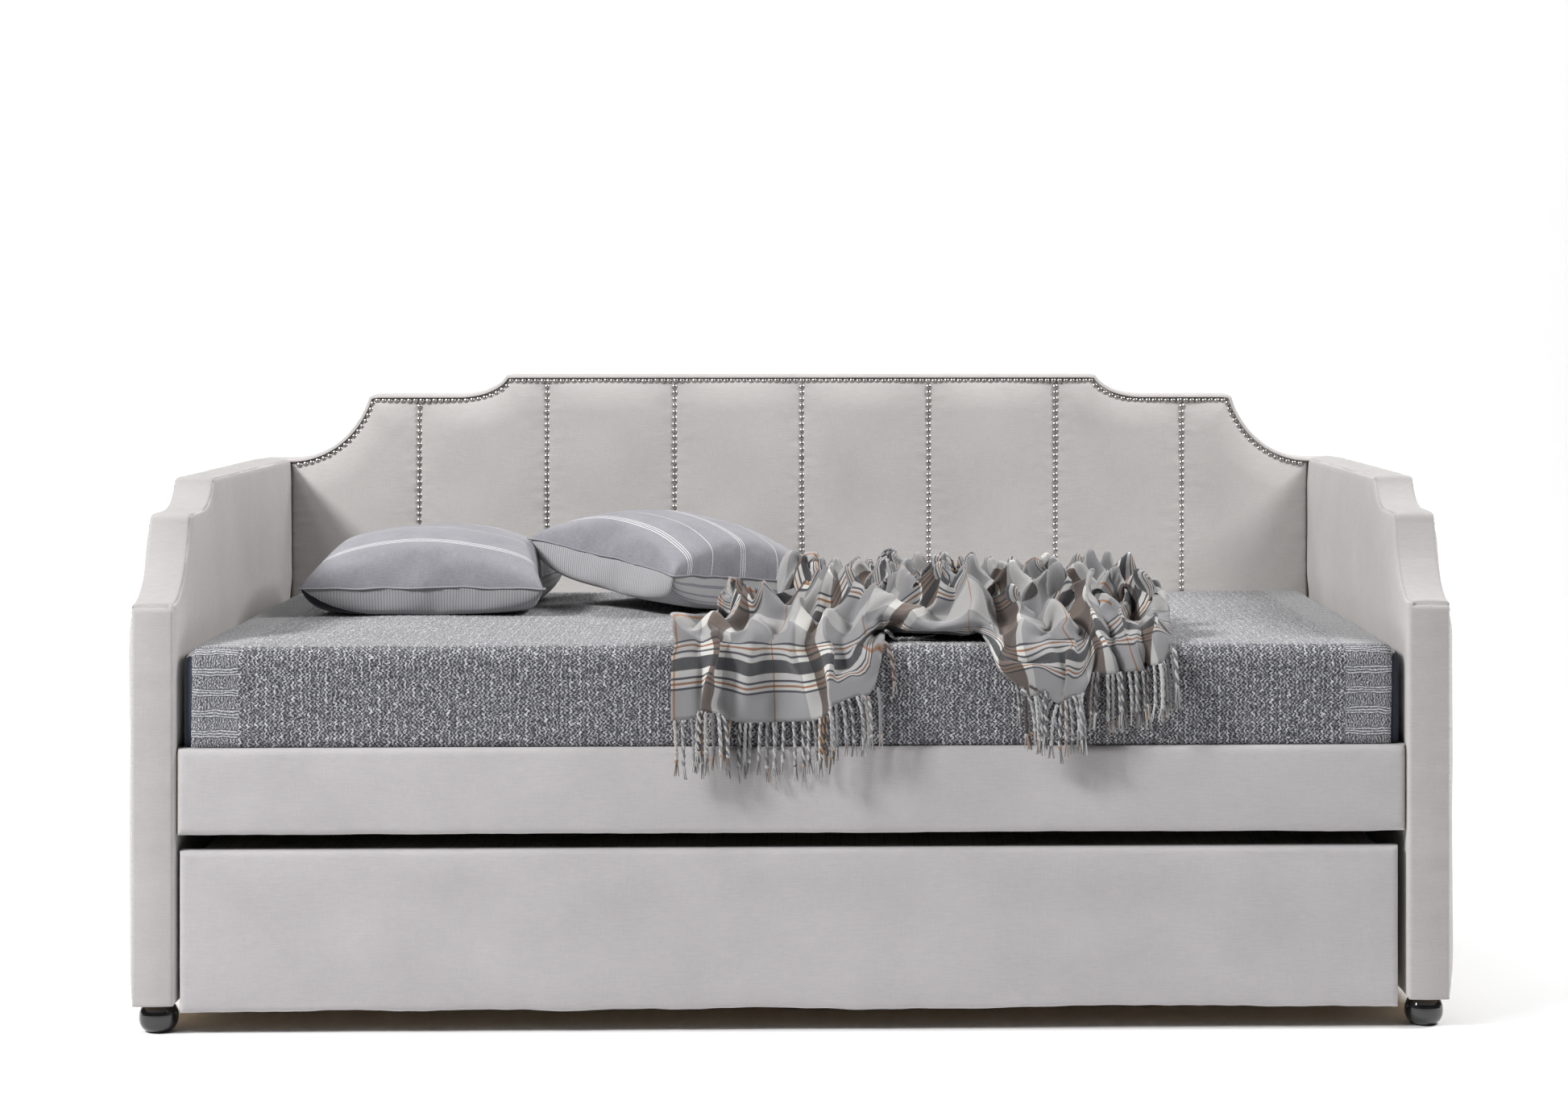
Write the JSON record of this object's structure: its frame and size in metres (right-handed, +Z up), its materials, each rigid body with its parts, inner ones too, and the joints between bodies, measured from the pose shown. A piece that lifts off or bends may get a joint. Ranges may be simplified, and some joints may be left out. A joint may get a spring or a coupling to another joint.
{
  "type": "trundle bed",
  "caption": "Upholstered daybed with channelled back, stepped arms, nail trim, dressed mattress and a padded pull-out trundle with its own mattress on casters.",
  "frame": {"origin": "on the floor, under the middle of the bounding box", "axes": "+X to the right along the length seen from the front, +Y to the back, +Z up"},
  "size_m": [2.146, 1.112, 1.029],
  "materials": {
    "plywood": "sawn, unfinished",
    "timber": "planed pine, unfinished",
    "upholstery": "short-pile velvet, pale warm grey",
    "nailheads": "domed upholstery nails, aged pewter",
    "zinc_steel": "zinc plated",
    "gloss_black": "turned wood, black lacquer",
    "wheel_plastic": "satin",
    "mattress_cover": "navy woven ticking",
    "trundle_mattress_cover": "quilted off-white ticking",
    "knit": "chunky melange knit",
    "cushion_cover": "woven chambray with thin white stripes",
    "plaid": "brushed plaid weave",
    "fringe": "twisted yarn tassels"
  },
  "bodies": {
    "daybed": {"back_panel": "plywood", "back_post_left": "timber", "back_post_right": "timber", "back_bottom_rail": "timber", "back_pad": "upholstery", "back_edge_band": "upholstery", "back_rear_cover": "upholstery", "back_top_nail_trim": "nailheads", "back_channel_nail_trim": "nailheads", "arm_panel_left": "plywood", "arm_panel_right": "plywood", "arm_posts_left": "timber", "arm_posts_right": "timber", "arm_bottom_rail_left": "timber", "arm_bottom_rail_right": "timber", "arm_inner_pad_left": "upholstery", "arm_inner_pad_right": "upholstery", "arm_outer_pad_left": "upholstery", "arm_outer_pad_right": "upholstery", "arm_band_left": "upholstery", "arm_band_right": "upholstery", "arm_nail_trim_left": "nailheads", "arm_nail_trim_right": "nailheads", "front_rail_board": "timber", "front_rail_cover": "upholstery", "front_ledger": "timber", "rear_ledger": "timber", "bed_slats": "timber", "foot_front_left": "gloss_black", "foot_front_right": "gloss_black", "foot_rear_left": "gloss_black", "foot_rear_right": "gloss_black", "foot_bolts": "zinc_steel", "frame_bolts": "zinc_steel", "mattress": "mattress_cover", "knit_blanket": "knit", "cushion_left": "cushion_cover", "cushion_right": "cushion_cover", "throw": "plaid", "throw_fringe": "fringe"},
    "trundle": {"trundle_front_board": "timber", "trundle_front_cover": "upholstery", "trundle_side_rail_left": "timber", "trundle_side_rail_right": "timber", "trundle_rear_rail": "timber", "trundle_front_ledger": "timber", "trundle_caster_bearer": "timber", "trundle_rear_ledger": "timber", "trundle_slats": "timber", "trundle_mattress": "trundle_mattress_cover", "caster_bracket_front_left": "zinc_steel", "caster_bracket_front_right": "zinc_steel", "caster_bracket_rear_left": "zinc_steel", "caster_bracket_rear_right": "zinc_steel", "caster_axles": "zinc_steel", "caster_screws": "zinc_steel"},
    "wheel_front_left": {"caster_wheel_front_left": "wheel_plastic"},
    "wheel_front_right": {"caster_wheel_front_right": "wheel_plastic"},
    "wheel_rear_left": {"caster_wheel_rear_left": "wheel_plastic"},
    "wheel_rear_right": {"caster_wheel_rear_right": "wheel_plastic"}
  },
  "joints": [
    {"name": "trundle_slide", "type": "slide", "parent": "daybed", "child": "trundle", "axis": [0, -1, 0], "range_m": [0, 1.05]},
    {"name": "caster_roll_front_left", "type": "hinge", "parent": "trundle", "child": "wheel_front_left", "pos_m": [-0.904, -0.344, 0.025], "axis": [1, 0, 0], "continuous": true},
    {"name": "caster_roll_front_right", "type": "hinge", "parent": "trundle", "child": "wheel_front_right", "pos_m": [0.896, -0.344, 0.025], "axis": [1, 0, 0], "continuous": true},
    {"name": "caster_roll_rear_left", "type": "hinge", "parent": "trundle", "child": "wheel_rear_left", "pos_m": [-0.904, 0.396, 0.025], "axis": [1, 0, 0], "continuous": true},
    {"name": "caster_roll_rear_right", "type": "hinge", "parent": "trundle", "child": "wheel_rear_right", "pos_m": [0.896, 0.396, 0.025], "axis": [1, 0, 0], "continuous": true}
  ],
  "couplings": [
    {"joint": "caster_roll_front_left", "follows": "trundle_slide", "rad_per_m": 40},
    {"joint": "caster_roll_front_right", "follows": "trundle_slide", "rad_per_m": 40},
    {"joint": "caster_roll_rear_left", "follows": "trundle_slide", "rad_per_m": 40},
    {"joint": "caster_roll_rear_right", "follows": "trundle_slide", "rad_per_m": 40}
  ]
}
